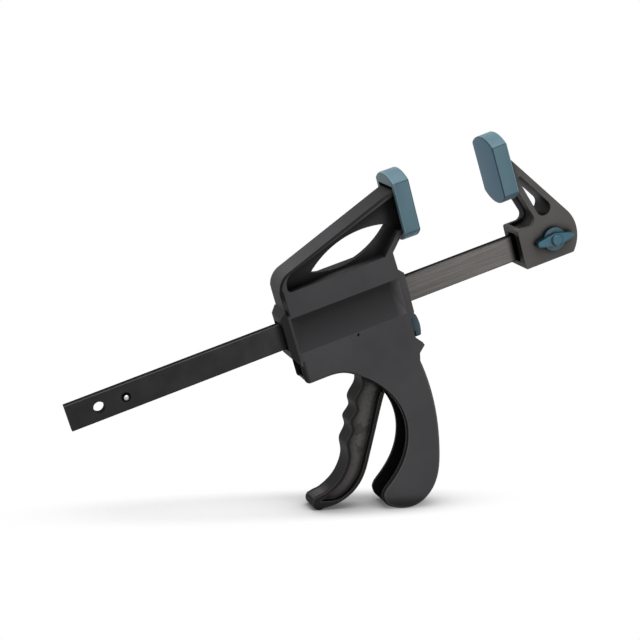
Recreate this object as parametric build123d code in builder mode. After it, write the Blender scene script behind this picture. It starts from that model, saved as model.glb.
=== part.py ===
"""One-handed quick release bar clamp with a reversible fixed jaw.

The origin is the centre of the hole at the free end of the bar. +X runs along the bar to the
fixed jaw, +Z is the side that the jaws stand on, and Y = 0 is the middle plane of the clamp.
The slide and the fixed jaw are each drawn in a frame of their own, with the same axes: the
slide's X starts at its trigger pin and the fixed jaw's X at its screw.
"""
from build123d import *
from math import atan2, cos, hypot, pi, radians, sin
import os

os.makedirs("parts", exist_ok=True)

# ---------------------------------------------------------------- driving dimensions (mm)
# bar
bar_height = 16.0
bar_thickness = 4.5
bar_edge = 0.5
bar_free_margin = 18.4          # free end of the bar to its hole
bar_hole_pitch = 287.5          # from the spare hole to the hole under the fixed jaw
bar_jaw_margin = 12.0           # hole under the fixed jaw to the bar's other end
bar_hole_r = 3.3
stop_pin_x = 16.1
stop_pin_r = 1.5
stop_pin_proud = 2.0            # how far the stop pin stands out of each face
stop_pin_edge = 0.7

# jaws and pads
body_width = 20.0               # both mouldings, across Y
opening = 54.5                  # between the clamping faces as stored
movable_face_x = 52.3           # in the slide's frame
fixed_face_x = -26.1            # in the fixed jaw's frame
pad_width = 27.8
pad_thickness = 9.9
pad_front_wall = 3.0
pad_straight_low = 35.9         # heights of the corners where the flat sides end
pad_straight_high = 66.5
pad_top_rise = 5.3
pad_bottom_drop = 6.0
pad_edge = 0.7
movable_toe = 0.6               # lean of each clamping face in degrees, tops inward
fixed_toe = 1.5
head_low = 36.2                 # the jaw head that the pad is pushed on
head_high = 62.2
pocket_high = 64.4              # top of the pocket in the pad, above the head
pad_fit = 0.4
pocket_r = 0.8

# movable jaw moulding, in the slide's frame
housing_left = -37.9
housing_right = 33.7
housing_top = 26.4
housing_bottom = -30.5
wall = 3.0
corner = 2.0
arm_rise = 0.342                # slope of the arm's back
arm_corner_r = 12.0
web = 4.0
rim_at_pad = 2.8                # rim along the arm's back, beside the recess
rim_at_corner = 1.0
recess_end = 4.8                # wall between the recess and the left end
recess_corner_r = 8.0
recess_r = 2.2
recess_past_pad = 1.0           # how far the recess runs on under the pad
throat_wall = 3.4
throat_low = (33.4, 27.0)       # front of the arm, under the pad
front_low = -28.4               # where the spur under the lever begins
spur = [(37.2, -31.8), (37.9, -33.8), (33.8, -37.6)]
front_high_drop = 9.0
eye_left = (-15.4, 30.5)        # tips of the eye-shaped window
eye_right = (36.4, 42.4)
eye_rise = 7.7
eye_drop = 6.9
scoop_half = 11.2               # hollow along each side, level with the bar
scoop_depth = 1.9
scoop_valley = 6.5              # height of its deepest line
scoop_valley_r = 10.0
scoop_inset = 1.0               # from the ends of the housing to the hollow
scoop_run = 6.0                 # slope at each of its ends
grip_edge = 1.1                 # chamfer all along the grip
collar_proud = 3.6              # tapered collars round the bar
collar_half_height = 12.6
collar_base_height = 16.4
collar_half_width = 8.4
mouth_half_width = 7.0
nose_r = 3.0                    # soft lower corner of the nose
nose_edge_r = 3.4               # soft upright edges of the nose
nose_wall = 2.6
nose_floor = 2.4
nose_roof = -17.6
nose_lip = 1.4                  # how far the floor stands back from the walls

# mechanism chamber
chamber_half_width = 7.0
chamber_left = -31.6
chamber_top = 14.6
chamber_floor = -14.0
guide_left = 18.4
guide_right = 22.4
guide_bottom = -20.0
slot_lip = 1.0                  # how far the chamber is cut past the lever's outer face
brake_room = 1.0                # over the bar, ahead of the brake plate
brake_room_ahead = 0.8
hollow_lip = 6.0                # how far the grip's hollow is cut past its front
slide_fit = 0.15                # bar in its guides

# trigger, on the pin at X = 0 of the slide's frame
pivot_z = -12.6
pivot_r = 2.0
pivot_fit = 0.05
pin_edge = 0.3
pivot_vent_r = 0.8
pin_short = 1.2                 # skin of the moulding over the near end of the pin
trigger_width = 13.2
trigger_web = 5.0
trigger_rim = 2.4
trigger_edge = 0.8
head_r = 4.2
boss_r = 3.8                    # round the pin between the ears of the fork, under the bar
head_room = 2.4                 # slot in the moulding ahead of the fork
cam_r = 2.2
cam_reach = 2.2                 # cam nose, ahead of and above the pivot
cam_height = 8.4
fork_fit = 0.65
fork_drop = 1.5                 # bottom of the fork's slot, under the pin's centre

# drive plates
plate_count = 3
plate_thickness = 2.0
plate_width = 12.4
plate_corner = 1.5
plate_top = 14.0
plate_bottom = -12.4
plate_fit = 0.45                # bar hole in the plates
plate_gap = 0.2                 # between plates and cam nose

# springs
spring_wire = 0.7               # side of the square wire
spring_mean_r = 2.0
drive_spring_z = 11.3
drive_spring_turns = 5
brake_spring_z = -13.0
brake_spring_turns = 2

# brake
brake_thickness = 2.4
brake_x = 29.8
brake_top = 13.2
brake_bottom = -22.0
tail_width = 9.0                # tail of the brake plate, inside the lever
lever_width = 12.4
lever_out = 39.5
lever_high = -15.1
lever_low = -28.7
lever_tab = 3.9
lever_bulge = 1.1
lever_round = 1.0
lever_gap = 0.7                 # between the lever and its slot
lever_socket = 1.6              # lever's wall behind the brake plate
lever_stem_high = -17.5
lever_stem_low = -25.0

# fixed jaw moulding, in its own frame
jaw_left = -21.1
jaw_bottom = -12.8
jaw_shelf = 12.3
jaw_shelf_r = 4.1
jaw_back_lean = 0.67            # run over rise of the jaw's sloping back
jaw_back_top = -19.6            # where the sloping back meets the top of the head
jaw_leg_foot = -7.3
jaw_shoulder_z = 13.5           # where the sloping back turns into the round shoulder
jaw_heel = 11.4                 # where the round shoulder meets the bottom
jaw_corner_r = 1.2
window_low = (-1.6, 20.2)       # centres of the window's two round ends
window_high = (-12.1, 42.5)
window_low_r = 4.6
window_high_r = 1.1
channel_depth = 2.1             # open channel down the leg and along the shelf
channel_wall = 2.5
channel_end = 2.8
channel_top = 1.6               # under the head
mouth_flare = 2.2

# wing screw
screw_r = 3.0
nut_flats = 10.0
screw_short = 0.8               # end of the screw, below the jaw's far side
nut_height = 5.0
nut_sunk = 0.3
knob_disc_r = 7.2
knob_disc = 2.4
knob_hub_r = 4.2
knob_boss_r = 3.4
knob_gap = 0.3
knob_height = 6.2
knob_edge = 0.7
wing_span = 24.8
wing_tip_r = 1.9
wing_height = 2.4               # above the disc
wing_turn = 3.0

# ---------------------------------------------------------------- derived places
half = body_width / 2
bar_half = bar_height / 2
bar_side = bar_thickness / 2
bar_right = bar_hole_pitch + bar_jaw_margin
slide_x = bar_hole_pitch + fixed_face_x - opening - movable_face_x
pad_middle = (pad_straight_low + pad_straight_high) / 2
head_depth = pad_thickness - pad_front_wall - pad_fit
plates_right = -cam_reach - cam_r - plate_gap
plates_left = plates_right - plate_count * plate_thickness
trigger_slot_x = -head_r - head_room
pin_half_length = half - pin_short
brake_stop_x = brake_x + brake_thickness + plate_gap
brake_room_x = housing_right + brake_room_ahead
lever_slot_high = lever_high + lever_gap
lever_slot_low = lever_low - 2 * lever_gap
scoop_left = housing_left + scoop_inset
scoop_right = housing_right - scoop_inset


def arm_back(x, rim=0.0):
    """Height at x of the arm's straight back, or of a line rim inside it."""
    return head_high + arm_rise * (x - (movable_face_x - pad_thickness)) - rim * hypot(1, arm_rise)


def inset(points, distance):
    """The points of a line moved square to it, to its right when distance is positive."""
    moved = []
    for before, point, after in zip(points[:1] + points, points, points[1:] + points[-1:]):
        run = hypot(after[0] - before[0], after[1] - before[1])
        moved.append((point[0] + distance * (after[1] - before[1]) / run,
                      point[1] - distance * (after[0] - before[0]) / run))
    return moved


# ---------------------------------------------------------------- bar
with BuildPart() as bar:
    with BuildSketch(Plane.YZ.offset(-bar_free_margin)):
        Rectangle(bar_thickness, bar_height)
    extrude(amount=bar_free_margin + bar_right)
    chamfer(bar.edges().filter_by(Axis.X), bar_edge)
    with BuildSketch(Plane.XZ):
        with Locations((0, 0), (bar_hole_pitch, 0)):
            Circle(bar_hole_r)
        with Locations((stop_pin_x, 0)):
            Circle(stop_pin_r)
    extrude(amount=bar_thickness, both=True, mode=Mode.SUBTRACT)

# The stop pin is a steel pin with chamfered ends, pressed through the bar.
with BuildPart() as bar_stop_pin:
    with BuildSketch(Plane.XZ):
        with Locations((stop_pin_x, 0)):
            Circle(stop_pin_r)
    extrude(amount=bar_side + stop_pin_proud, both=True)
    chamfer(bar_stop_pin.faces().filter_by(Axis.Y).edges(), stop_pin_edge)


# ---------------------------------------------------------------- pads
def make_pad(face):
    """Soft cap on a jaw head: face is the clamping plane, its normal pointing out of the pad."""
    low = pad_straight_low - pad_middle
    high = pad_straight_high - pad_middle
    side = pad_width / 2
    with BuildPart() as pad:
        with BuildSketch():
            with BuildLine():
                Line((-side, low), (-side, high))
                ThreePointArc((-side, high), (0, high + pad_top_rise), (side, high))
                Line((side, high), (side, low))
                ThreePointArc((side, low), (0, low - pad_bottom_drop), (-side, low))
            make_face()
        extrude(amount=-pad_thickness)
        chamfer(pad.faces().sort_by(Axis.Z)[-1].edges(), pad_edge)
        with BuildSketch(Plane.XY.offset(-pad_thickness)):
            with Locations((0, (head_low - pad_fit + pocket_high) / 2 - pad_middle)):
                RectangleRounded(body_width + 2 * pad_fit, pocket_high - head_low + pad_fit, pocket_r)
        extrude(amount=pad_thickness - pad_front_wall, mode=Mode.SUBTRACT)
    return pad.part.moved(face.location)


movable_face = Plane((movable_face_x, 0, pad_middle), x_dir=(0, 1, 0),
                     z_dir=(cos(radians(movable_toe)), 0, -sin(radians(movable_toe))))
fixed_face = Plane((fixed_face_x, 0, pad_middle), x_dir=(0, -1, 0),
                   z_dir=(-cos(radians(fixed_toe)), 0, -sin(radians(fixed_toe))))
movable_jaw_pad = make_pad(movable_face)
fixed_jaw_pad = make_pad(fixed_face)

# ---------------------------------------------------------------- movable jaw
# One moulding: arm, housing round the bar and hollow grip, drawn as one side outline.
pad_back_x = movable_face_x - pad_thickness
arm_head_x = pad_back_x + head_depth
throat_high = (pad_back_x - pad_fit, head_low)
grip_back = [(32.9, -41.5), (35.0, -67.0), (30.3, -102.4), (20.4, -123.4),
             (6.6, -130.0), (-8.0, -124.8), (-11.9, -115.6)]
grip_front = [grip_back[-1], (-6.9, -110.2), (6.6, -97.6), (14.2, -76.6),
              (7.0, -51.6), (-8.6, -35.3), (-24.0, housing_bottom)]

trigger_front = [(-4.3, -41.8), (-7.0, -46.8), (-12.3, -53.2), (-12.6, -57.6), (-18.1, -63.2),
                 (-18.4, -68.2), (-23.6, -75.0), (-24.8, -82.0), (-29.6, -91.4), (-36.6, -97.4),
                 (-45.4, -100.8), (-52.2, -101.6)]
trigger_end = (-54.2, -105.8)
trigger_back = [(-48.8, -109.6), (-37.5, -110.2), (-27.3, -107.0), (-18.6, -99.6), (-11.8, -88.7),
                (-3.9, -74.6), (7.7, -54.5), (11.8, -44.0)]
trigger_recess_end = (-49.4, -104.6)

with BuildPart() as movable_jaw:
    with BuildSketch(Plane.XZ) as side_outline:
        with BuildLine():
            Polyline(grip_front[-1], (housing_left, housing_bottom), (housing_left, arm_back(housing_left)),
                     (pad_back_x, head_high), (arm_head_x, head_high),
                     (arm_head_x, head_low), throat_high, throat_low,
                     (housing_right, housing_top - front_high_drop), (housing_right, front_low),
                     *spur, grip_back[0])
            Spline(grip_back, tangents=((0.18, -1), (0.1, 1)))
            Spline(grip_front, tangents=((0.3, 1), (-1, 0)))
        make_face()
        fillet(side_outline.vertices().sort_by_distance((housing_left, arm_back(housing_left)))[0],
               arm_corner_r)
        fillet(side_outline.vertices().sort_by_distance((housing_left, housing_bottom))[0], nose_r)
    extrude(amount=half, both=True)
    grip_edges = movable_jaw.faces().filter_by(Axis.Y).edges().filter_by(GeomType.BSPLINE)
    chamfer(grip_edges, grip_edge)
    # flat chamfers on the upright edges over the collar's foot, soft ones under it
    for way in (-1, 1):
        with BuildSketch(Plane.XY.offset(-collar_base_height)):
            with BuildLine():
                Polyline((housing_left, way * half), (housing_left + corner, way * half),
                         (housing_left, way * (half - corner)), close=True)
            make_face()
        extrude(amount=housing_top + collar_base_height + corner, mode=Mode.SUBTRACT)
        soft_edge = nose_edge_r * (1 - sin(radians(45)))
        with BuildSketch(Plane.XY.offset(housing_bottom)):
            with BuildLine():
                Polyline((housing_left, way * (half - nose_edge_r)), (housing_left, way * half),
                         (housing_left + nose_edge_r, way * half))
                ThreePointArc((housing_left + nose_edge_r, way * half),
                              (housing_left + soft_edge, way * (half - soft_edge)),
                              (housing_left, way * (half - nose_edge_r)))
            make_face()
        extrude(amount=-collar_base_height - housing_bottom, mode=Mode.SUBTRACT)

    # tapered collars where the bar enters and leaves
    for end_x, way in ((housing_left, -1), (housing_right, 1)):
        collar_end = Plane((end_x, 0, 0), x_dir=(0, 1, 0), z_dir=(way, 0, 0))
        with BuildSketch(collar_end):
            Rectangle(body_width, 2 * collar_base_height)
        with BuildSketch(collar_end.offset(collar_proud)):
            Rectangle(2 * collar_half_width, 2 * collar_half_height)
        loft()

    # recesses beside the web of the arm, and the eye-shaped window through it
    with BuildSketch(Plane.XZ.offset(web / 2)) as recess:
        with BuildLine():
            throat_foot, throat_head = inset([throat_low, throat_high], -throat_wall)
            throat_run = (throat_head[0] - throat_foot[0]) / (throat_head[1] - throat_foot[1])
            recess_left = housing_left + recess_end
            recess_right = pad_back_x + recess_past_pad
            recess_corner = (recess_left, arm_back(recess_left, rim_at_corner))
            Polyline((recess_left, housing_top), recess_corner,
                     (recess_right, arm_back(recess_right, rim_at_pad)), (recess_right, throat_head[1]),
                     throat_head, (throat_foot[0] - throat_run * (throat_foot[1] - housing_top), housing_top),
                     close=True)
        make_face()
        fillet(recess.vertices().sort_by_distance(recess_corner)[0], recess_corner_r)
        fillet(recess.vertices().sort_by_distance((recess_left, housing_top))[0], recess_r)
    extrude(amount=half, mode=Mode.SUBTRACT)
    mirror(movable_jaw.part, about=Plane.XZ, mode=Mode.INTERSECT)
    with BuildSketch(Plane.XZ):
        with BuildLine():
            SagittaArc(eye_left, eye_right, -eye_rise)
            SagittaArc(eye_left, eye_right, eye_drop)
        make_face()
    extrude(amount=web, both=True, mode=Mode.SUBTRACT)

    # hollow along each side, level with the bar, with sloping ends
    with BuildPart(mode=Mode.PRIVATE) as scoop:
        with BuildSketch(Plane.YZ.offset(scoop_left)) as scoop_section:
            with BuildLine():
                Polyline((half, -scoop_half), (half, scoop_half), (half - scoop_depth, scoop_valley),
                         close=True)
            make_face()
            fillet(scoop_section.vertices().sort_by_distance((half - scoop_depth, scoop_valley))[0],
                   scoop_valley_r)
        extrude(amount=scoop_right - scoop_left)
        with BuildSketch(Plane.XY.offset(-scoop_half)):
            with BuildLine():
                Polyline((scoop_left, half), (scoop_left + scoop_run, half - scoop_depth),
                         (scoop_right - scoop_run, half - scoop_depth), (scoop_right, half),
                         close=True)
            make_face()
        extrude(amount=2 * scoop_half, mode=Mode.INTERSECT)
    add(scoop.part, mode=Mode.SUBTRACT)
    add(scoop.part.mirror(Plane.XZ), mode=Mode.SUBTRACT)

    # chamber for the plates and springs, the trigger slot and the open hollow of the grip
    hollow_back = inset(grip_back[:6], wall)
    with BuildSketch(Plane.XZ):
        with BuildLine():
            Polyline(hollow_back[0], (hollow_back[0][0], lever_slot_low),
                     (lever_out + slot_lip, lever_slot_low), (lever_out + slot_lip, lever_slot_high),
                     (brake_room_x, lever_slot_high), (brake_room_x, bar_half + brake_room),
                     (brake_stop_x, bar_half + brake_room),
                     (brake_stop_x, brake_top + slide_fit), (guide_right, brake_top + slide_fit),
                     (guide_right, guide_bottom), (guide_left, guide_bottom),
                     (guide_left, chamber_top), (chamber_left, chamber_top),
                     (chamber_left, chamber_floor), (trigger_slot_x, chamber_floor),
                     (trigger_slot_x, trigger_front[0][1]),
                     (hollow_back[-1][0] - hollow_lip, trigger_front[3][1]),
                     (hollow_back[-1][0] - hollow_lip, hollow_back[-1][1]), hollow_back[-1])
            Spline(hollow_back, tangents=((0.18, -1), (-1, 0.3)))
        make_face()
    extrude(amount=chamber_half_width, both=True, mode=Mode.SUBTRACT)

    # the nose is hollow and open to the left, and its floor stands a little back from its walls
    for depth, low in ((trigger_slot_x - wall - housing_left, housing_bottom + nose_floor),
                       (nose_lip, housing_bottom)):
        with BuildSketch(Plane.YZ.offset(housing_left)):
            with Locations((0, (nose_roof + low) / 2)):
                Rectangle(2 * (half - nose_wall), nose_roof - low)
        extrude(amount=depth, mode=Mode.SUBTRACT)

    # way for the bar, with an open mouth in the left collar
    with BuildSketch(Plane.YZ.offset(housing_left - 2 * collar_proud)):
        Rectangle(bar_thickness + 2 * slide_fit, bar_height + 2 * slide_fit)
    extrude(amount=housing_right - housing_left + 4 * collar_proud, mode=Mode.SUBTRACT)
    with BuildSketch(Plane.YZ.offset(housing_left - collar_proud)):
        Rectangle(2 * mouth_half_width, bar_height + 4 * slide_fit)
    extrude(amount=collar_proud, mode=Mode.SUBTRACT)

    # seat of the trigger pin, open at the far side, with a vent at the near side
    with Locations(Plane.XZ):
        with Locations((0, pivot_z)):
            Cylinder(pivot_r, 2 * pin_half_length, mode=Mode.SUBTRACT)
            Cylinder(pivot_vent_r, body_width, mode=Mode.SUBTRACT)

# ---------------------------------------------------------------- trigger and its pin
with BuildPart() as trigger_pin:
    with BuildSketch(Plane.XZ):
        with Locations((0, pivot_z)):
            Circle(pivot_r)
    extrude(amount=pin_half_length, both=True)
    chamfer(trigger_pin.edges().filter_by(GeomType.CIRCLE), pin_edge)

with BuildPart() as trigger:
    with BuildSketch(Plane.XZ):
        with BuildLine():
            Spline(trigger_front, tangents=((-0.1, -1), (-1, -0.2)))
            ThreePointArc(trigger_front[-1], trigger_end, trigger_back[0])
            Spline(trigger_back, tangents=((1, -0.25), (0.3, 1)))
            Polyline(trigger_back[-1], (head_r, pivot_z), (-head_r, pivot_z),
                     trigger_front[0])
        make_face()
        with Locations((0, pivot_z)):
            Circle(head_r)
        with BuildLine():
            cam_centre = (-cam_reach, pivot_z + cam_height)
            Polyline((-head_r, pivot_z), (cam_centre[0] - cam_r, cam_centre[1]),
                     (cam_centre[0] + cam_r, cam_centre[1]), (head_r, pivot_z),
                     close=True)
        make_face()
        with Locations(cam_centre):
            Circle(cam_r)
    extrude(amount=trigger_width / 2, both=True)
    back_edges = trigger.faces().filter_by(Axis.Y).edges().filter_by(GeomType.BSPLINE).sort_by(Axis.X)[-2:]
    chamfer(back_edges, trigger_edge)

    # the sides are recessed down to a web, which leaves a rim all round
    rim_front = inset(trigger_front[:-1], -trigger_rim) + [trigger_recess_end]
    rim_back = [trigger_recess_end] + inset(trigger_back[1:], -trigger_rim)
    with BuildPart(mode=Mode.PRIVATE) as side_recess:
        with BuildSketch(Plane.XZ.offset(trigger_web / 2)):
            with BuildLine():
                Spline(rim_front, tangents=((-0.1, -1), (-1, -0.2)))
                Spline(rim_back, tangents=((1, -0.3), (0.3, 1)))
                Line(rim_back[-1], rim_front[0])
            make_face()
        extrude(amount=trigger_width)
    add(side_recess.part, mode=Mode.SUBTRACT)
    add(side_recess.part.mirror(Plane.XZ), mode=Mode.SUBTRACT)

    # fork round the bar, and the pin hole
    with BuildSketch(Plane.XZ):
        with Locations((0, pivot_z - fork_drop)):
            Rectangle(6 * head_r, 4 * head_r, align=(Align.CENTER, Align.MIN))
        with Locations((0, pivot_z)):
            Circle(boss_r, mode=Mode.SUBTRACT)
    extrude(amount=bar_side + fork_fit, both=True, mode=Mode.SUBTRACT)
    with Locations(Plane.XZ):
        with Locations((0, pivot_z)):
            Cylinder(pivot_r + pivot_fit, 2 * trigger_width, mode=Mode.SUBTRACT)

# ---------------------------------------------------------------- drive plates and spring
drive_plates = []
for number in range(plate_count):
    with BuildPart() as drive_plate:
        with BuildSketch(Plane.YZ.offset(plates_left + number * plate_thickness)):
            with Locations((0, (plate_top + plate_bottom) / 2)):
                RectangleRounded(plate_width, plate_top - plate_bottom, plate_corner)
            Rectangle(bar_thickness + 2 * plate_fit, bar_height + 2 * plate_fit, mode=Mode.SUBTRACT)
        extrude(amount=plate_thickness)
    drive_plates.append(drive_plate)


def make_spring(start, length, turns):
    """Compression spring of square wire along +X from start, with its ends inside length."""
    lead = atan2(length / turns, 2 * pi * spring_mean_r)
    end_room = spring_wire / 2 * (cos(lead) + sin(lead))
    reach = length - 2 * end_room
    with BuildPart() as spring:
        with BuildLine():
            coil = Helix(pitch=reach / turns, height=reach, radius=spring_mean_r,
                         center=(start[0] + end_room, start[1], start[2]), direction=(1, 0, 0))
        with BuildSketch(Plane(coil @ 0, z_dir=coil % 0)):
            Rectangle(spring_wire, spring_wire)
        sweep(path=coil, is_frenet=True)
    return spring.part


drive_spring = make_spring((chamber_left, 0, drive_spring_z), plates_left - chamber_left,
                           drive_spring_turns)

# ---------------------------------------------------------------- brake plate, its spring and lever
with BuildPart() as brake_plate:
    with BuildSketch(Plane.YZ.offset(brake_x)):
        with Locations((0, brake_top)):
            Rectangle(plate_width, brake_top - lever_high, align=(Align.CENTER, Align.MAX))
            Rectangle(tail_width, brake_top - brake_bottom, align=(Align.CENTER, Align.MAX))
        Rectangle(bar_thickness + 2 * plate_fit, bar_height + 2 * plate_fit, mode=Mode.SUBTRACT)
    extrude(amount=brake_thickness)

brake_spring = make_spring((guide_right, 0, brake_spring_z), brake_x - guide_right,
                           brake_spring_turns)

# The lever is moulded over the tail of the brake plate and ends in a curved thumb tab.
with BuildPart() as release_lever:
    with BuildSketch(Plane.XZ):
        with BuildLine():
            Line((lever_out - lever_tab, lever_high), (lever_out - lever_tab, lever_low))
            Line((lever_out - lever_tab, lever_low), (lever_out - lever_bulge, lever_low))
            ThreePointArc((lever_out - lever_bulge, lever_low), (lever_out, (lever_low + lever_high) / 2),
                          (lever_out - lever_bulge, lever_high))
            Line((lever_out - lever_bulge, lever_high), (lever_out - lever_tab, lever_high))
        make_face()
        with BuildLine():
            Polyline((brake_x - lever_socket, lever_stem_high), (lever_out - lever_tab, lever_stem_high),
                     (lever_out - lever_tab, lever_stem_low), (brake_x - lever_socket, lever_stem_low),
                     close=True)
        make_face()
    extrude(amount=lever_width / 2, both=True)
    fillet(release_lever.edges().filter_by(Axis.X), lever_round)
    with BuildSketch(Plane.YZ.offset(brake_x)):
        with Locations((0, brake_top)):
            Rectangle(tail_width, brake_top - brake_bottom, align=(Align.CENTER, Align.MAX))
    extrude(amount=brake_thickness, mode=Mode.SUBTRACT)

# ---------------------------------------------------------------- fixed jaw
fixed_pad_back = fixed_face_x + pad_thickness
jaw_leg_x = fixed_pad_back + 2 * pad_fit
jaw_leg_run = (jaw_leg_foot - jaw_leg_x) / (head_low - jaw_shelf)


def jaw_leg(z, depth=0.0):
    """Place of the leg's front at height z, or of a line depth behind it."""
    return jaw_leg_x + jaw_leg_run * (head_low - z) + depth * hypot(1, jaw_leg_run)


with BuildPart() as fixed_jaw:
    with BuildSketch(Plane.XZ) as jaw_outline:
        with BuildLine():
            shoulder = (jaw_back_top + jaw_back_lean * (head_high - jaw_shoulder_z), jaw_shoulder_z)
            Polyline((jaw_heel, jaw_bottom), (jaw_left, jaw_bottom), (jaw_left, jaw_shelf),
                     (jaw_leg_foot, jaw_shelf), (jaw_leg_x, head_low),
                     (fixed_pad_back - head_depth, head_low),
                     (fixed_pad_back - head_depth, head_high), (jaw_back_top, head_high), shoulder)
            TangentArc(shoulder, (jaw_heel, jaw_bottom), tangent=(jaw_back_lean, -1))
        make_face()
        fillet(jaw_outline.vertices().sort_by_distance((jaw_leg_foot, jaw_shelf))[0], jaw_shelf_r)
        for corner_place in ((jaw_left, jaw_shelf), (jaw_left, jaw_bottom), (jaw_heel, jaw_bottom)):
            fillet(jaw_outline.vertices().sort_by_distance(corner_place)[0], jaw_corner_r)
    extrude(amount=half, both=True)
    with BuildSketch(Plane.XZ):
        with Locations(window_low):
            Circle(window_low_r)
        with Locations(window_high):
            Circle(window_high_r)
        make_hull()
    extrude(amount=half, both=True, mode=Mode.SUBTRACT)
    # open channel down the front of the leg and along the shelf, between two side walls
    with BuildSketch(Plane.XZ) as channel:
        with BuildLine():
            channel_floor = jaw_shelf - channel_depth
            channel_high = head_low - channel_top
            channel_corner = (jaw_leg(channel_floor, channel_depth), channel_floor)
            Polyline((jaw_left + channel_end, channel_floor), channel_corner,
                     (jaw_leg(channel_high, channel_depth), channel_high),
                     (jaw_leg(channel_high, -channel_depth), channel_high),
                     (jaw_leg(jaw_shelf + jaw_shelf_r, -jaw_shelf_r), jaw_shelf + jaw_shelf_r),
                     (jaw_left + channel_end, jaw_shelf + jaw_shelf_r), close=True)
        make_face()
        fillet(channel.vertices().sort_by_distance(channel_corner)[0], jaw_shelf_r + channel_depth)
    extrude(amount=half - channel_wall, both=True, mode=Mode.SUBTRACT)
    # way for the bar, flared at its mouth
    with BuildSketch(Plane.YZ.offset(jaw_left)):
        Rectangle(bar_thickness + 2 * slide_fit, bar_height + 2 * slide_fit)
    extrude(amount=bar_jaw_margin + slide_fit - jaw_left, mode=Mode.SUBTRACT)
    with BuildSketch(Plane.YZ.offset(jaw_left)):
        Rectangle(bar_thickness + 2 * mouth_flare, bar_height + mouth_flare)
    extrude(amount=mouth_flare, mode=Mode.SUBTRACT)
    # screw hole, and the pocket that keeps the nut from turning
    with Locations(Plane.XZ):
        Cylinder(bar_hole_r, body_width, mode=Mode.SUBTRACT)
    with BuildSketch(Plane.XZ.offset(-half)):
        RegularPolygon(nut_flats / 2 + slide_fit, 6, major_radius=False)
    extrude(amount=nut_height + nut_sunk, mode=Mode.SUBTRACT)

with BuildPart() as jaw_nut:
    with BuildSketch(Plane.XZ.offset(-half + nut_sunk)):
        RegularPolygon(nut_flats / 2, 6, major_radius=False)
        Circle(screw_r + pivot_fit, mode=Mode.SUBTRACT)
    extrude(amount=nut_height)

# ---------------------------------------------------------------- wing screw
screw_head_y = half + knob_gap + knob_disc + knob_height / 2
# Steel screw with a plastic wing head moulded on it.
with BuildPart() as jaw_screw:
    with BuildSketch(Plane.XZ.offset(-half + screw_short)):
        Circle(screw_r)
    extrude(amount=half - screw_short + screw_head_y)
    chamfer(jaw_screw.edges().sort_by(Axis.Y)[-1], bar_edge)

with BuildPart() as wing_knob:
    knob_seat = Plane.XZ.offset(half + knob_gap)
    wing_reach = wing_span / 2 - wing_tip_r
    wing_way = (wing_reach * cos(radians(wing_turn)), -wing_reach * sin(radians(wing_turn)))
    with BuildSketch(knob_seat):
        Circle(knob_hub_r)
        with Locations(wing_way, (-wing_way[0], -wing_way[1])):
            Circle(wing_tip_r)
        make_hull()
    extrude(amount=knob_disc + wing_height)
    fillet(wing_knob.faces().sort_by(Axis.Y)[0].edges(), knob_edge)
    with BuildSketch(knob_seat):
        Circle(knob_disc_r)
    extrude(amount=knob_disc)
    with BuildSketch(knob_seat):
        Circle(knob_boss_r)
    extrude(amount=knob_height)
    chamfer(wing_knob.faces().sort_by(Axis.Y)[0].edges(), knob_edge)
    with BuildSketch(Plane.XZ):
        Circle(screw_r)
    extrude(amount=screw_head_y, mode=Mode.SUBTRACT)

# ---------------------------------------------------------------- write the pieces
bar_pieces = {"bar": bar.part, "bar_stop_pin": bar_stop_pin.part}
jaw_pieces = {
    "fixed_jaw": fixed_jaw.part, "fixed_jaw_pad": fixed_jaw_pad, "jaw_nut": jaw_nut.part,
    "jaw_screw": jaw_screw.part, "wing_knob": wing_knob.part,
}
slide_pieces = {
    "movable_jaw": movable_jaw.part, "movable_jaw_pad": movable_jaw_pad,
    "trigger": trigger.part, "trigger_pin": trigger_pin.part, "drive_spring": drive_spring,
    "brake_plate": brake_plate.part, "brake_spring": brake_spring,
    "release_lever": release_lever.part,
}
for number, drive_plate in enumerate(drive_plates, start=1):
    slide_pieces[f"drive_plate_{number}"] = drive_plate.part

for frame_x, pieces in ((0.0, bar_pieces), (bar_hole_pitch, jaw_pieces), (slide_x, slide_pieces)):
    for name, piece in pieces.items():
        placed = piece.moved(Location((frame_x, 0, 0)))
        placed.label = name
        export_step(placed, f"parts/{name}.step")
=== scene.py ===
"""One-handed quick release bar clamp: looks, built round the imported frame, in metres."""

from math import asin, cos, radians, sin

import bmesh
import bpy
from mathutils import Matrix, Vector


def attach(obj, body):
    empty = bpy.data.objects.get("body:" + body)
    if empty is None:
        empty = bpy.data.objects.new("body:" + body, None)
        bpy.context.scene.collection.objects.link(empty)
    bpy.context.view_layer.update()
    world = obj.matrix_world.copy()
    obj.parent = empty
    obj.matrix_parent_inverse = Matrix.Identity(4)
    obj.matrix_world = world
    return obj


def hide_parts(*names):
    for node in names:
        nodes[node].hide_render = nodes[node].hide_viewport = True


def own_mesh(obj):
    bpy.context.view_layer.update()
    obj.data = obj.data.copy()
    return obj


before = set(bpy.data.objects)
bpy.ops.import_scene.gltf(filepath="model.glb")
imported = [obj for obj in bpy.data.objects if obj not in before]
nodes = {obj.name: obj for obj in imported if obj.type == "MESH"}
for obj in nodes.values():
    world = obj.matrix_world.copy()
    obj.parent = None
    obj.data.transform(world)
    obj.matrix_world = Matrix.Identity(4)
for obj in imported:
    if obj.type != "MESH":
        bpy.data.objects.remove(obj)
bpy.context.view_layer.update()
MM = 0.001

# ------------------------------------------------------------------ bar
# Flat bar of cold drawn mild steel, chemically blackened and oiled. The drawing die and the
# grinding belt leave faint streaks along its length, and the sawn ends are plain.


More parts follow.
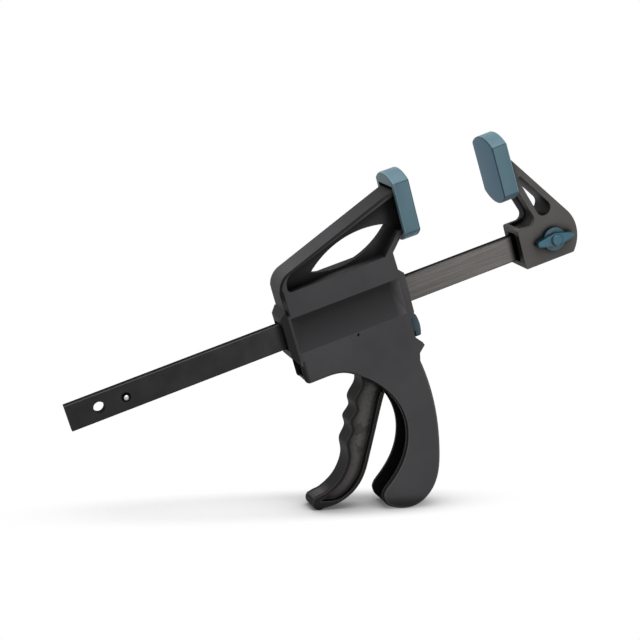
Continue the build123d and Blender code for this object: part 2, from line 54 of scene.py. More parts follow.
def linear(code):
    """Linear colour, with alpha, of an sRGB hex value."""
    channels = [int(code[start:start + 2], 16) / 255 for start in (1, 3, 5)]
    return [c / 12.92 if c <= 0.04045 else ((c + 0.055) / 1.055) ** 2.4 for c in channels] + [1.0]


def add(material, kind, inputs=(), **settings):
    """Adds a shader node. An input's value is a number, a colour or the socket that feeds it."""
    node = material.node_tree.nodes.new(kind)
    for name, value in settings.items():
        setattr(node, name, value)
    for name, value in dict(inputs).items():
        if isinstance(value, bpy.types.NodeSocket):
            material.node_tree.links.new(value, node.inputs[name])
        else:
            node.inputs[name].default_value = value
    return node


def new_material(name):
    """A material with an empty node tree."""
    material = bpy.data.materials.new(name)
    material.use_nodes = True
    material.node_tree.nodes.clear()
    return material


def surface(material, inputs):
    """Ends a material in one Principled shader."""
    shader = add(material, "ShaderNodeBsdfPrincipled", inputs)
    add(material, "ShaderNodeOutputMaterial", {"Surface": shader.outputs["BSDF"]})
    return material


def between(material, factor, first, second):
    """Colour that goes from first to second as factor goes from 0 to 1."""
    mix = add(material, "ShaderNodeMix", {0: factor, 6: first, 7: second}, data_type="RGBA")
    return mix.outputs[2]


def spread(material, value, low, high):
    """Stretches the middle of a noise value onto low to high."""
    return add(material, "ShaderNodeMapRange",
               {"Value": value, "From Min": 0.3, "From Max": 0.7, "To Min": low, "To Max": high}
               ).outputs["Result"]


def noise(material, place, size, detail=2.0, stretch=(1, 1, 1)):
    """Noise whose blotches are about size metres across, longer where stretch is below 1."""
    mapped = add(material, "ShaderNodeMapping", {"Vector": place, "Scale": stretch})
    return add(material, "ShaderNodeTexNoise",
               {"Vector": mapped.outputs["Vector"], "Scale": 1 / size, "Detail": detail}
               ).outputs["Fac"]


def creases(material, radius):
    """1 on the edges of a piece, within about radius of them, and 0 on its faces."""
    soft = add(material, "ShaderNodeBevel", {"Radius": radius}, samples=6)
    plain = add(material, "ShaderNodeNewGeometry")
    turned = add(material, "ShaderNodeVectorMath",
                 {0: soft.outputs["Normal"], 1: plain.outputs["Normal"]}, operation="DOT_PRODUCT")
    return add(material, "ShaderNodeMapRange",
               {"Value": turned.outputs["Value"], "From Min": 0.999, "From Max": 0.965}
               ).outputs["Result"]


def both(material, first, second):
    """1 where both masks are; the second may be a plain share."""
    return add(material, "ShaderNodeMath", {0: first, 1: second}, operation="MULTIPLY").outputs[0]


def turned_to(material, axis, low, high, either=False):
    """0 to 1 as the piece's surface turns along an axis from low to high, or either way."""
    normal = add(material, "ShaderNodeTexCoord").outputs["Normal"]
    turn = add(material, "ShaderNodeSeparateXYZ", {"Vector": normal}).outputs[axis]
    if either:
        turn = add(material, "ShaderNodeMath", {0: turn}, operation="ABSOLUTE").outputs[0]
    return add(material, "ShaderNodeMapRange", {"Value": turn, "From Min": low, "From Max": high}
               ).outputs["Result"]


def partway(material, place, axis, low, high):
    """0 to 1 from low to high along an axis of the piece."""
    at = add(material, "ShaderNodeSeparateXYZ", {"Vector": place}).outputs[axis]
    return add(material, "ShaderNodeMapRange", {"Value": at, "From Min": low, "From Max": high}
               ).outputs["Result"]


def round_spot(material, place, x, outer, inner):
    """0 to 1 from outer to inner, measured from an axis along Y that crosses the bar at x."""
    from_axis = add(material, "ShaderNodeVectorMath", {0: place, 1: (-x, 0, 0)}, operation="ADD")
    across = add(material, "ShaderNodeVectorMath", {0: from_axis.outputs["Vector"], 1: (1, 0, 1)},
                 operation="MULTIPLY")
    away = add(material, "ShaderNodeVectorMath", {0: across.outputs["Vector"]}, operation="LENGTH")
    return add(material, "ShaderNodeMapRange",
               {"Value": away.outputs["Value"], "From Min": outer, "From Max": inner}
               ).outputs["Result"]


stop_pin_x = 16.1 * MM
pin_ring_shade = (3.3 * MM, 2.3 * MM)    # painted shade: a dark ring round the pressed-in pin
painted_sheen_length = (90 * MM, 250 * MM)    # where the bar's sides are painted lighter, a painted reflection
jaw_mouth = (261 * MM, 265 * MM)        # where the bar goes into the fixed jaw; beyond it the bar is painted black as shade


def blackened_steel():
    """Black oxide on drawn steel: near black and half glossy. Its sides are painted lighter towards
    the jaw end as a painted reflection, and its edges are painted black as painted shade."""
    material = new_material("blackened_steel")
    place = add(material, "ShaderNodeTexCoord").outputs["Object"]
    # real drawing lines are some hundredths of a millimetre apart; these are as fine as show
    streaks = noise(material, place, 0.5 * MM, detail=3.0, stretch=(0.02, 1, 1))
    mottle = noise(material, place, 9 * MM)
    plain = between(material, spread(material, mottle, 0.0, 1.0), linear("#2a2a2a"),
                    linear("#313030"))
    along = add(material, "ShaderNodeSeparateXYZ", {"Vector": place}).outputs["X"]
    # painted reflection: the sides are lighter towards the jaw end
    painted_sheen = add(material, "ShaderNodeMapRange",
                  {"Value": along, "From Min": painted_sheen_length[0], "From Max": painted_sheen_length[1]},
                  interpolation_type="SMOOTHSTEP").outputs["Result"]
    flat = turned_to(material, "Y", 0.0, 1.0, either=True)
    painted_sheen_tone = between(material, both(material, painted_sheen, flat), plain, linear("#4a4846"))
    # painted light: the narrow faces and the ends are a lighter grey than the sides
    tone = between(material, flat, linear("#3a3a3b"), painted_sheen_tone)
    # painted shade: the bar is black where it runs into the fixed jaw
    tone = between(material, partway(material, place, "X", *jaw_mouth), tone, linear("#040404"))
    # painted shade: a dark ring round the stop pin
    painted_ring_shade = round_spot(material, place, stop_pin_x, *pin_ring_shade)
    tone = between(material, painted_ring_shade, tone, linear("#040404"))
    # painted shade: the edges are painted black
    tone = between(material, creases(material, 0.3 * MM), tone, linear("#050505"))
    bump = add(material, "ShaderNodeBump",
               {"Strength": 0.12, "Distance": 0.05 * MM, "Height": streaks})
    return surface(material, {"Base Color": tone, "Metallic": 1.0,
                              "Roughness": spread(material, streaks, 0.34, 0.46),
                              "Specular Tint": (0.3, 0.3, 0.3, 1),
                              "Normal": bump.outputs["Normal"]})


def finish(name, material):
    """Gives a CAD node one material."""
    nodes[name].data.materials.clear()
    nodes[name].data.materials.append(material)


finish("bar", blackened_steel())

# ------------------------------------------------------------------ small steel pieces
# Small turned, coiled and pressed steel pieces. The screw and its nut are zinc plated, the plates
# are left as hardened, the springs are drawn wire, the stop pin is bright and the trigger's pin is
# blackened.


def plated_steel(name, code, roughness):
    """Barrelled steel: grey, with a fine uneven sheen from tumbling."""
    material = new_material(name)
    place = add(material, "ShaderNodeTexCoord").outputs["Object"]
    haze = noise(material, place, 1.5 * MM)
    rough = spread(material, haze, roughness - 0.06, roughness + 0.08)
    return surface(material, {"Base Color": linear(code), "Metallic": 1.0, "Roughness": rough})


def closing_coil(name):
    """Copy of a CAD spring that rides on the slide in place of the CAD node."""
    coil = bpy.data.objects.new(name + "_coil", nodes[name].data.copy())
    bpy.context.scene.collection.objects.link(coil)
    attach(coil, "slide")
    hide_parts(name)
    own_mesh(coil)


drive_plate_travel = 3.0 * MM
brake_plate_travel = 2.5 * MM           # at the brake plate's lower edge
zinc = plated_steel("zinc_plated_steel", "#a9abad", 0.32)
hardened = plated_steel("hardened_plate_steel", "#6f6d6a", 0.42)
spring_wire = plated_steel("spring_wire", "#8f9092", 0.28)
for name in ("jaw_screw", "jaw_nut"):
    finish(name, zinc)
for name in ("drive_plate_1", "drive_plate_2", "drive_plate_3", "brake_plate"):
    finish(name, hardened)
for name, joint, travel in (("drive_spring", "drive_plate_shift", drive_plate_travel),
                            ("brake_spring", "release_lever_press", brake_plate_travel)):
    finish(name, spring_wire)
    closing_coil(name)
finish("trigger_pin", plated_steel("blackened_pin_steel", "#3a3a3b", 0.35))
finish("bar_stop_pin", plated_steel("bright_pin_steel", "#b9b9ba", 0.30))

# ------------------------------------------------------------------ movable jaw
# One hollow injection moulding in black glass-filled nylon: arm, housing and grip. Its walls
# have an even matt grain, and its side scoops are smooth. As painted shade, the scoops are a
# deeper black towards their top, the nose is black and the arm's top darker towards the head.

scoop_height = (-11.2 * MM, 11.2 * MM)
scoop_sides = (-9.97 * MM, 9.97 * MM)   # just under the housing's flat sides
scoop_length = (117.7 * MM, 187.3 * MM)
arm_height = (24 * MM, 70 * MM)
nose_length = (100 * MM, 117.4 * MM)
nose_height = (-40 * MM, -17 * MM)
collar_length = (100 * MM, 116.4 * MM)
grip_height = (-130 * MM, -38 * MM)
grip_hollow = (-9.5 * MM, 9.5 * MM)     # between the rounded edges of the grip's sides


def hollows(material, reach, low, high):
    """0 deep in a hollow or gap, 1 on open surfaces: how much sky is seen within reach."""
    seen = add(material, "ShaderNodeAmbientOcclusion", {"Distance": reach}, samples=12)
    return add(material, "ShaderNodeMapRange",
               {"Value": seen.outputs["AO"], "From Min": low, "From Max": high}).outputs["Result"]


def black_nylon(name, dark, light, gloss, shine=0.18):
    """Glass-filled nylon: charcoal black, satin, with a fine even grain. Gives the material, the
    place on the piece, the plain tone and the function that ends the material."""
    material = new_material(name)
    place = add(material, "ShaderNodeTexCoord").outputs["Object"]
    cloud = noise(material, place, 22 * MM)
    # the eroded grain is about 0.1 mm; this is as fine as shows
    grain = noise(material, place, 0.45 * MM, detail=3.0)
    tone = between(material, spread(material, cloud, 0.0, 1.0), linear(dark), linear(light))

    def end(tone, edge_tone, edge_share):
        """Tints the edges, adds the grain and closes the material."""
        edge = both(material, creases(material, 0.7 * MM), edge_share)
        tone = between(material, edge, tone, edge_tone)
        soft = add(material, "ShaderNodeBevel", {"Radius": 0.5 * MM}, samples=6)
        bump = add(material, "ShaderNodeBump", {"Strength": 0.25, "Distance": 0.04 * MM,
                                                "Height": grain, "Normal": soft.outputs["Normal"]})
        return surface(material, {"Base Color": tone, "Specular IOR Level": shine,
                                  "Roughness": spread(material, grain, gloss - 0.07, gloss + 0.07),
                                  "Normal": bump.outputs["Normal"]})
    return material, place, tone, end


def inside(material, place, axis, low, high, soft):
    """1 where the piece lies between low and high along an axis, with an edge soft metres wide."""
    at = add(material, "ShaderNodeSeparateXYZ", {"Vector": place}).outputs[axis]
    rise = add(material, "ShaderNodeMapRange",
               {"Value": at, "From Min": low - soft, "From Max": low})
    fall = add(material, "ShaderNodeMapRange",
               {"Value": at, "From Min": high + soft, "From Max": high})
    return both(material, rise.outputs["Result"], fall.outputs["Result"])


def scooped(jaw, place):
    """1 on the smooth floor and walls of the scoops in the housing's sides."""
    level = inside(jaw, place, "Z", *scoop_height, 0.3 * MM)
    sunk = inside(jaw, place, "Y", *scoop_sides, 0.02 * MM)
    return both(jaw, both(jaw, level, sunk), inside(jaw, place, "X", *scoop_length, 0.2 * MM))


jaw, place, tone, end = black_nylon("black_nylon", "#454446", "#4d4b4d", 0.66)
# painted shade: the scoops darken towards their top; painted highlight: lighter at their right end
painted_scoop_tone = between(jaw, partway(jaw, place, "Z", -11 * MM, 9 * MM), linear("#3a393b"),
                     linear("#1b1a1c"))
painted_scoop_tone = between(jaw, partway(jaw, place, "X", 181 * MM, 187 * MM), painted_scoop_tone,
                     linear("#5d5b5d"))
tone = between(jaw, scooped(jaw, place), tone, painted_scoop_tone)
# painted shade: upward faces are darker towards the head
painted_light = both(jaw, turned_to(jaw, "Z", 0.3, 0.6), partway(jaw, place, "X", 112 * MM, 190 * MM))
tone = between(jaw, painted_light, tone, linear("#252426"))
# painted shade: the arm's chamfers are black
bevel = both(jaw, turned_to(jaw, "Y", 0.5, 0.6, either=True),
             turned_to(jaw, "Y", 0.85, 0.8, either=True))
arm_bevel = both(jaw, bevel, inside(jaw, place, "Z", *arm_height, 4 * MM))
tone = between(jaw, arm_bevel, tone, linear("#060606"))
# painted shade: the nose under the collar is black
painted_nose_shade = both(jaw, inside(jaw, place, "X", *nose_length, 2.5 * MM),
              inside(jaw, place, "Z", *nose_height, 1.5 * MM))
tone = between(jaw, painted_nose_shade, tone, linear("#040404"))
# painted shade: the collar end is darker
collar = inside(jaw, place, "X", *collar_length, 0.5 * MM)
tone = between(jaw, collar, tone, linear("#242325"))
# painted shade: hollows and gaps are darkened
tone = between(jaw, hollows(jaw, 9 * MM, 0.80, 0.99), linear("#252425"), tone)
tone = between(jaw, hollows(jaw, 22 * MM, 0.30, 0.85), linear("#030303"), tone)
# painted light: the bevel between the collar and the scoop is pale
painted_lit_corner = both(jaw, inside(jaw, place, "X", 105 * MM, 124 * MM, 2 * MM),
                     inside(jaw, place, "Z", -18 * MM, 12 * MM, 1.5 * MM))
tone = between(jaw, both(jaw, bevel, painted_lit_corner), tone, linear("#6b696b"))
# the grip is open towards the trigger, and no light comes back out of it
unlit = both(jaw, partway(jaw, place, "Z", -34 * MM, -42 * MM),
             inside(jaw, place, "Y", *grip_hollow, 0.3 * MM))
unlit = both(jaw, unlit, turned_to(jaw, "X", 0.3, 0.1))
unlit = both(jaw, unlit, turned_to(jaw, "Z", -0.85, -0.7))
tone = between(jaw, unlit, tone, linear("#020202"))
# edges are painted black on the arm and the housing as shade, and pale on the grip as painted
# highlight
edge_tone = between(jaw, inside(jaw, place, "Z", *grip_height, 3 * MM), linear("#060606"),
                    linear("#7d7b79"))
edge_tone = between(jaw, unlit, edge_tone, linear("#020202"))
finish("movable_jaw", end(tone, edge_tone, 0.5))

# ------------------------------------------------------------------ fixed jaw
# The same nylon in a smaller moulding, with a socket for the bar and a tapering window, held by
# the wing screw. It is a lighter grey than the grip. As painted shade, the socket's mouth is black
# and the window's walls are dark; the inside of the far side wall catches the light.

socket_height = (-8.7 * MM, 8.5 * MM)
socket_mouth = (255 * MM, 268 * MM)
window_floor = 14 * MM
window_bowl = (280.5 * MM, 291 * MM)    # the window's wide round end

jaw, place, tone, end = black_nylon("jaw_nylon", "#5a5857", "#646260", 0.60)
# painted shade: the socket's mouth round the bar is black
mouth = both(jaw, inside(jaw, place, "Z", *socket_height, 0.4 * MM),
             inside(jaw, place, "X", *socket_mouth, 1 * MM))
mouth = both(jaw, mouth, turned_to(jaw, "X", -0.5, -0.8))
tone = between(jaw, mouth, tone, linear("#040404"))
# painted shade: hollows are darkened, and so is the face round the wing knob
tone = between(jaw, hollows(jaw, 16 * MM, 0.55, 0.93), linear("#201f1e"), tone)
tone = between(jaw, hollows(jaw, 7 * MM, 0.0, 0.55), linear("#040404"), tone)
far_wall = both(jaw, turned_to(jaw, "Y", -0.5, -0.8),
                inside(jaw, place, "Y", 2 * MM, 9.6 * MM, 1 * MM))
far_wall = both(jaw, far_wall, inside(jaw, place, "Z", window_floor, 60 * MM, 2 * MM))
tone = between(jaw, far_wall, tone, linear("#a3a19f"))
# as painted shade, the walls that face the bar's free end are black towards their rims, so paler
# along their middle
wall = both(jaw, turned_to(jaw, "X", -0.1, -0.4), turned_to(jaw, "Z", 0.3, 0.0))
wall = both(jaw, wall, partway(jaw, place, "Z", window_floor, 20 * MM))
middle = inside(jaw, place, "Y", -2.0 * MM, 2.0 * MM, 2 * MM)
rims = add(jaw, "ShaderNodeMath", {0: 1.0, 1: middle}, operation="SUBTRACT").outputs[0]
tone = between(jaw, both(jaw, wall, rims), tone, linear("#030303"))
# painted shade: the window's round end is black inside
bowl = both(jaw, inside(jaw, place, "X", *window_bowl, 1.5 * MM),
            inside(jaw, place, "Z", window_floor, 19 * MM, 3 * MM))
bowl = both(jaw, bowl, turned_to(jaw, "Y", 0.5, 0.3, either=True))
tone = between(jaw, bowl, tone, linear("#020202"))
# painted shade: the edges carry dark lines
finish("fixed_jaw", end(tone, linear("#060606"), 0.45))

# ------------------------------------------------------------------ trigger
# Nylon lever with a thin web between two rims and waves for the fingers. It is scuffed on the web,
# its front faces and tip are painted darker as shade, and its rims are darker.

web_sides = (-4.0 * MM, 4.0 * MM)
scuffed_sides = (-3.2 * MM, 3.2 * MM)   # the web itself, without the rounds to its rims
tip_height = (-150 * MM, -103 * MM)

handle, place, tone, end = black_nylon("handled_nylon", "#4c4949", "#535050", 0.52, shine=0.06)
scratch = noise(handle, place, 1.3 * MM, detail=8.0, stretch=(1, 1, 0.5))
patch = noise(handle, place, 14 * MM)
scuffs = both(handle, spread(handle, scratch, -7.0, 2.0), spread(handle, patch, -4.4, 1.5))
scuffs = add(handle, "ShaderNodeClamp", {"Value": scuffs}).outputs["Result"]
web_face = both(handle, inside(handle, place, "Y", *scuffed_sides, 0.3 * MM),
                turned_to(handle, "Y", 0.9, 0.95, either=True))
tone = between(handle, both(handle, scuffs, web_face), tone, linear("#646362"))
tone = between(handle, partway(handle, place, "Z", -85 * MM, -100 * MM), tone, linear("#686464"))
web = inside(handle, place, "Y", *web_sides, 0.5 * MM)
tone = between(handle, web, linear("#262424"), tone)
# painted shade: hollows are darkened
tone = between(handle, hollows(handle, 6 * MM, 0.35, 0.92), linear("#050505"), tone)
# painted shade: faces turned to the front, towards -X, are darker
tone = between(handle, turned_to(handle, "X", -0.15, -0.4), tone, linear("#1e1d1d"))
# painted shade: the faces round the tip, other than its sides, are near black
tip = both(handle, inside(handle, place, "Z", *tip_height, 4 * MM),
           turned_to(handle, "Y", 0.9, 0.8, either=True))
tone = between(handle, tip, tone, linear("#121111"))
# painted highlight: the edges carry pale lines
finish("trigger", end(tone, linear("#5f5e58"), 0.6))

# ------------------------------------------------------------------ pads
# Each pad is a soft teal cap of thermoplastic rubber, moulded in one piece and pushed over the
# head of its jaw. Its long edges stay crisp and carry a thin painted dark line of shade.

pad_width = 27.8 * MM
pad_thickness = 9.9 * MM
pad_front_wall = 3.0 * MM
pad_low, pad_high = 35.9 * MM, 66.5 * MM
pad_middle = (pad_low + pad_high) / 2
pad_top_rise, pad_bottom_drop = 5.3 * MM, 6.0 * MM
pad_rounding = 0.8 * MM                 # of the edges round its front and back
pad_corner = 0.7 * MM                   # of the four corners of its outline
pocket_half = 10.4 * MM                 # the pocket that goes over the jaw's head
pocket_low, pocket_high = 35.8 * MM, 64.4 * MM
side_steps, crown_steps, corner_steps = 12, 24, 4
front_edge_steps, back_edge_steps = 6, 4


def teal_rubber():
    """Thermoplastic rubber: matt teal with a soft bloom, and darker edges painted as shade."""
    material = new_material("teal_rubber")
    place = add(material, "ShaderNodeTexCoord").outputs["Object"]
    cloud = noise(material, place, 14 * MM)
    # the mould's grain is finer; this is as fine as shows
    grain = noise(material, place, 0.4 * MM)
    tone = between(material, spread(material, cloud, 0.0, 1.0), linear("#4b6e7c"),
                   linear("#577884"))
    front = add(material, "ShaderNodeAttribute", attribute_name="front").outputs["Fac"]
    tone = between(material, front, tone, linear("#387795"))
    # painted shade: hollows are darkened
    tone = between(material, hollows(material, 7 * MM, 0.3, 0.8), linear("#041a24"), tone)
    # painted shade: dark lines along the edges
    edge = add(material, "ShaderNodeAttribute", attribute_name="edge").outputs["Fac"]
    tone = between(material, edge, tone, linear("#0e3644"))
    # painted highlight: a pale line along the back edge
    rim = add(material, "ShaderNodeAttribute", attribute_name="rim").outputs["Fac"]
    tone = between(material, rim, tone, linear("#86a9b4"))
    bump = add(material, "ShaderNodeBump",
               {"Strength": 0.2, "Distance": 0.03 * MM, "Height": grain})
    return surface(material, {"Base Color": tone, "Roughness": 0.50, "Specular IOR Level": 0.40,
                              "Sheen Weight": 0.1, "Sheen Roughness": 0.5,
                              "Normal": bump.outputs["Normal"]})


def arc_points(start, end, rise, count):
    """Points of a shallow arc from start to end, both included, rise to its left if positive."""
    chord = (end - start).length
    radius = (chord ** 2 / 4 + rise ** 2) / (2 * abs(rise))
    half_angle = asin(chord / 2 / radius)
    along = (end - start) / chord
    out = Vector((-along.y, along.x)) * (1 if rise > 0 else -1)
    centre = (start + end) / 2 - out * (radius - abs(rise))
    return [centre + radius * (along * sin(a) + out * cos(a))
            for a in (half_angle * (2 * i / count - 1) for i in range(count + 1))]


def straight_points(start, end, count):
    """Points of a straight line from start to end, both included."""
    return [start.lerp(end, i / count) for i in range(count + 1)]


def softened(runs, radius):
    """Closed outline of (point, corner amount) made of runs of points with rounded ends."""
    outline = []
    for before, run in zip(runs[-1:] + runs[:-1], runs):
        corner = run[0]
        enter = corner.lerp(before[-2], min(1.0, radius / (corner - before[-2]).length))
        leave = corner.lerp(run[1], min(1.0, radius / (corner - run[1]).length))
        for step in range(corner_steps + 1):
            t = step / corner_steps
            curve = enter.lerp(corner, t).lerp(corner.lerp(leave, t), t)
            outline.append((curve, 1.0 - abs(2 * t - 1.0)))
        outline += [(point, 0.0) for point in run[1:-1] if (point - corner).length > radius]
    return outline


def offset_outline(points, distance):
    """The closed outline moved inwards by distance; it runs clockwise."""
    moved = []
    for before, point, after in zip(points[-1:] + points[:-1], points, points[1:] + points[:1]):
        first = (point - before).normalized()
        second = (after - point).normalized()
        square = Vector((first.y, -first.x))
        inward = (square + Vector((second.y, -second.x))).normalized()
        moved.append(point + inward * distance / max(inward.dot(square), 0.5))
    return moved


def pad_mesh(name, place):
    """Cap with a crowned top and bottom; place puts its clamping face, which looks along +Z."""
    side = pad_width / 2
    low, high = pad_low - pad_middle, pad_high - pad_middle
    lower_left, upper_left = Vector((-side, low)), Vector((-side, high))
    upper_right, lower_right = Vector((side, high)), Vector((side, low))
    outline = softened([straight_points(lower_left, upper_left, side_steps),
                        arc_points(upper_left, upper_right, pad_top_rise, crown_steps),
                        straight_points(upper_right, lower_right, side_steps),
                        arc_points(lower_right, lower_left, pad_bottom_drop, crown_steps)],
                       pad_corner)
    # each ring: how far in from the outline, how deep under the face, and how dark its painted edge
    # line is
    rings = []
    for step, darkness in enumerate((0.2, 0.8, 1.0, 1.0, 0.9, 0.5, 0.0)):
        a = radians(90) * step / front_edge_steps
        rings.append((pad_rounding * (1 - sin(a)), -pad_rounding * (1 - cos(a)), darkness))
    for step in range(back_edge_steps + 1):
        a = radians(90) * step / back_edge_steps
        depth = pad_rounding * (1 - sin(a)) - pad_thickness
        rings.append((pad_rounding * (1 - cos(a)), depth, 0.0))
    painted_light = {8: 0.5, 9: 0.8, 10: 0.5}  # the rings of the back edge that carry a painted highlight
    points, corner_amounts = zip(*outline)
    mesh = bmesh.new()
    edge_layer = mesh.verts.layers.float.new("edge")
    rim_layer = mesh.verts.layers.float.new("rim")
    front_layer = mesh.verts.layers.float.new("front")
    loops = []
    for number, (inset, depth, darkness) in enumerate(rings):
        loop = []
        for point, corner_amount in zip(offset_outline(points, inset), corner_amounts):
            vert = mesh.verts.new((point.x, point.y, depth))
            at_corner = 0.8 * corner_amount if inset < pad_rounding / 2 else 0.0
            vert[edge_layer] = max(darkness, at_corner)
            vert[rim_layer] = painted_light.get(number, 0.0)
            vert[front_layer] = 1.0 if number == 0 else 0.0
            loop.append(vert)
        loops.append(loop)
    count = len(outline)
    for first, second in zip(loops, loops[1:]):
        for i in range(count):
            j = (i + 1) % count
            mesh.faces.new((first[i], first[j], second[j], second[i]))
    mesh.faces.new(loops[0])
    # back face, and the pocket for the jaw head
    pocket = [(-pocket_half, pocket_low), (-pocket_half, pocket_high),
              (pocket_half, pocket_high), (pocket_half, pocket_low)]
    mouth = [mesh.verts.new((u, v - pad_middle, -pad_thickness)) for u, v in pocket]
    deep = [mesh.verts.new((u, v - pad_middle, -pad_front_wall)) for u, v in pocket]
    for i in range(4):
        mesh.faces.new((mouth[i], mouth[(i + 1) % 4], deep[(i + 1) % 4], deep[i]))
    mesh.faces.new(deep)
    rim = [mesh.edges.get((loops[-1][i], loops[-1][(i + 1) % count])) for i in range(count)]
    rim += [mesh.edges.get((mouth[i], mouth[(i + 1) % 4])) for i in range(4)]
    bmesh.ops.triangle_fill(mesh, use_beauty=True, edges=rim)
    bmesh.ops.recalc_face_normals(mesh, faces=mesh.faces)
    for face in mesh.faces:
        face.smooth = True
    data = bpy.data.meshes.new(name)
    mesh.to_mesh(data)
    mesh.free()
    data.transform(place)
    piece = bpy.data.objects.new(name, data)
    bpy.context.scene.collection.objects.link(piece)
    piece.data.set_sharp_from_angle(angle=radians(40))
    return piece


def facing(x, lean, way):
    """Place of a clamping face at x whose normal leans lean degrees below the bar's direction."""
    normal = Vector((way * cos(radians(lean)), 0, -sin(radians(lean))))
    across = Vector((0, way, 0))
    return Matrix.Translation((x, 0, pad_middle)) @ Matrix(
        (across, normal.cross(across), normal)).transposed().to_4x4()


movable_face_x, movable_face_lean = 206.9 * MM, 0.6
fixed_face_x, fixed_face_lean = 261.4 * MM, 1.5
rubber = teal_rubber()
for name, node, body, x, lean, way in (
        ("movable_pad_cap", "movable_jaw_pad", "slide", movable_face_x, movable_face_lean, 1),
        ("fixed_pad_cap", "fixed_jaw_pad", "bar_and_fixed_jaw", fixed_face_x, fixed_face_lean, -1)):
    cap = pad_mesh(name, facing(x, lean, way))
    cap.data.materials.append(rubber)
    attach(cap, body)
    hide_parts(node)

# ------------------------------------------------------------------ teal controls
# The wing head of the screw and the release lever are moulded polypropylene, dyed teal to show
# what the hand works. They are glossier and deeper in colour than the pads.


def teal_plastic(name, deep, dark, light, gloss, shine):
    """Dyed polypropylene: satin, slightly translucent, with faint flow marks."""
    material = new_material(name)
    place = add(material, "ShaderNodeTexCoord").outputs["Object"]
    flow = noise(material, place, 6 * MM)
    tone = between(material, spread(material, flow, 0.0, 1.0), linear(dark), linear(light))
    # painted light: faces turned towards -Y keep the lighter tone, and the others get the deep tone
    # as shade
    tone = between(material, turned_to(material, "Y", -0.3, -0.9), linear(deep), tone)
    # painted shade: hollows are darkened
    tone = between(material, hollows(material, 5 * MM, 0.55, 1.0), linear("#04141b"), tone)
    # painted highlight: the edges carry pale lines
    edge = both(material, creases(material, 0.25 * MM), 0.35)
    tone = between(material, edge, tone, linear("#6f9fae"))
    soft = add(material, "ShaderNodeBevel", {"Radius": 0.4 * MM}, samples=6)
    return surface(material, {"Base Color": tone, "Specular IOR Level": shine,
                              "Roughness": spread(material, flow, gloss - 0.08, gloss + 0.08),
                              "Normal": soft.outputs["Normal"]})


finish("wing_knob", teal_plastic(
    "teal_polypropylene", "#0b3040", "#1a4f61", "#2a677a", gloss=0.32, shine=0.30))
# painted shade: the lever is a greyer, darker copy of the knob's teal
finish("release_lever", teal_plastic(
    "shaded_teal_polypropylene", "#1a323b", "#213f4a", "#284954", gloss=0.60, shine=0.50))

# ------------------------------------------------------------------ stand, light and camera
# The clamp stands on the end of its grip and the tip of its trigger on a pale sweep, under one
# wide soft light from above and a low soft panel in front of the fixed jaw. The sweep stays
# under the grip when the movable jaw slides.


def lowest(name, up):
    """Height along up of the lowest point of a CAD node."""
    return min(vertex.co.dot(up) for vertex in nodes[name].data.vertices)


# the tilt at which the grip and the trigger both touch the floor, in degrees
low_tilt, high_tilt = 0.0, 45.0
for halving in range(20):
    tilt = (low_tilt + high_tilt) / 2
    up = Vector((sin(radians(tilt)), 0, cos(radians(tilt))))
    if lowest("trigger", up) > lowest("movable_jaw", up):
        low_tilt = tilt
    else:
        high_tilt = tilt
along_floor = Vector((up.z, 0, -up.x))
floor_frame = Matrix((along_floor, (0, 1, 0), up)).transposed().to_4x4()
stand_x, floor_gap = 135 * MM, 0.1 * MM
stand_point = Vector((stand_x, 0, 0))
stand_point += up * (lowest("trigger", up) - stand_point.dot(up) - floor_gap)
floor_place = Matrix.Translation(stand_point) @ floor_frame


def seen_or_lit(material, lit):
    """1 where a surface is seen, also in gloss or glass, and lit where it only gives light."""
    rays = add(material, "ShaderNodeLightPath").outputs
    seen = add(material, "ShaderNodeMath", {0: rays["Is Camera Ray"], 1: rays["Is Glossy Ray"]},
               operation="MAXIMUM").outputs[0]
    seen = add(material, "ShaderNodeMath", {0: seen, 1: rays["Is Transmission Ray"]},
               operation="MAXIMUM").outputs[0]
    return add(material, "ShaderNodeMapRange", {"Value": seen, "To Min": lit, "To Max": 1.0}
               ).outputs["Result"]


shadow_length, shadow_width = 180 * MM, 31 * MM


def pale_floor():
    """White card: lit shadow and painted shadow near the stand, fading to plain white further out.
    """
    material = new_material("white_card")
    place = add(material, "ShaderNodeTexCoord").outputs["Object"]
    # 1 on an ellipse of this reach along and across the bar, whose middle lies a little off
    flat = add(material, "ShaderNodeVectorMath",
               {0: place, 1: (1 / shadow_length, 1 / shadow_width, 0), 2: (0.12, -0.10, 0)},
               operation="MULTIPLY_ADD")
    reach = add(material, "ShaderNodeVectorMath", {0: flat.outputs["Vector"]}, operation="LENGTH")
    fade = add(material, "ShaderNodeMapRange", {"Value": reach.outputs["Value"], "From Min": 0.40,
                                                "From Max": 1.0, "To Min": 0.10},
               interpolation_type="SMOOTHSTEP")
    # painted shadow: the card is darker where it sees less sky, near the clamp's feet
    shade = between(material, hollows(material, 50 * MM, 0.30, 1.0), linear("#6c6c6c"),
                    linear("#eeeeee"))
    card = add(material, "ShaderNodeBsdfDiffuse", {"Color": shade})
    glow = add(material, "ShaderNodeEmission",
               {"Color": (1, 1, 1, 1), "Strength": seen_or_lit(material, 0.2)})
    mix = add(material, "ShaderNodeMixShader",
              {0: fade.outputs["Result"], 1: card.outputs["BSDF"], 2: glow.outputs["Emission"]})
    add(material, "ShaderNodeOutputMaterial", {"Surface": mix.outputs["Shader"]})
    return material


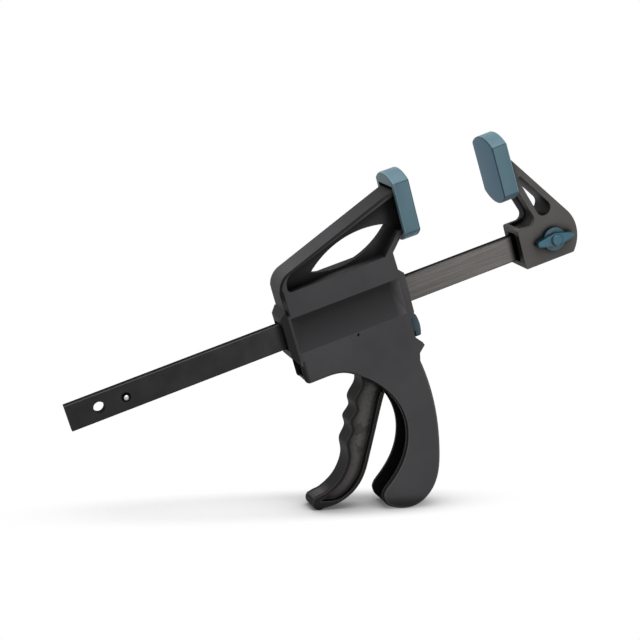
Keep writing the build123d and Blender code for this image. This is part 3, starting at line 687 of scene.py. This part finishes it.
floor_half = 3.0
sweep = bmesh.new()
bmesh.ops.create_grid(sweep, x_segments=1, y_segments=1, size=floor_half)
sweep_data = bpy.data.meshes.new("white_sweep")
sweep.to_mesh(sweep_data)
sweep.free()
sweep_data.materials.append(pale_floor())
floor = bpy.data.objects.new("white_sweep", sweep_data)
floor.matrix_world = floor_place
bpy.context.scene.collection.objects.link(floor)
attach(floor, "slide")


def soft_light(name, place, target, size, power):
    """Square softbox at place, in floor coordinates, that looks at target."""
    light = bpy.data.lights.new(name, "AREA")
    light.size = size
    light.energy = power
    lamp = bpy.data.objects.new(name, light)
    spot = floor_place @ Vector(place)
    aim = floor_place @ Vector(target) - spot
    turn = aim.to_track_quat("-Z", "Y").to_matrix().to_4x4()
    lamp.matrix_world = Matrix.Translation(spot) @ turn
    lamp.visible_camera = False
    bpy.context.scene.collection.objects.link(lamp)


soft_light("overhead_softbox", (-0.25, -0.25, 1.3), (0.05, 0, 0.1), size=1.1, power=12.5)
soft_light("front_panel", (0.34, -0.62, 0.1), (0.16, 0, 0.12), size=0.24, power=1.0)

world = bpy.data.worlds.new("studio")
bpy.context.scene.world = world
world.use_nodes = True
world.node_tree.nodes.clear()
way = add(world, "ShaderNodeTexCoord").outputs["Generated"]
height = add(world, "ShaderNodeVectorMath", {0: way, 1: up}, operation="DOT_PRODUCT")
dome = add(world, "ShaderNodeMapRange",
           {"Value": height.outputs["Value"], "From Min": -0.3, "From Max": 0.8,
            "To Min": 0.12, "To Max": 0.6}).outputs["Result"]
sky = add(world, "ShaderNodeBackground",
          {"Color": (1, 1, 1, 1), "Strength": seen_or_lit(world, dome)})
add(world, "ShaderNodeOutputWorld", {"Surface": sky.outputs["Background"]})
bpy.context.scene.view_settings.view_transform = "Standard"

lens = bpy.data.cameras.new("camera")
lens.sensor_width = 36.0
lens.lens = 91.8
lens.clip_end = 20.0
camera = bpy.data.objects.new("camera", lens)
bpy.context.scene.collection.objects.link(camera)
camera_place = (-0.0921, -0.86493, 0.31923)
heading, dip, roll = radians(14.873), radians(19.589), radians(-15.87)
look = Vector((sin(heading) * cos(dip), cos(heading) * cos(dip), -sin(dip)))
turn = look.to_track_quat("-Z", "Y").to_matrix() @ Matrix.Rotation(roll, 3, "Z")
camera.matrix_world = Matrix.Translation(camera_place) @ turn.to_4x4()
bpy.context.scene.camera = camera
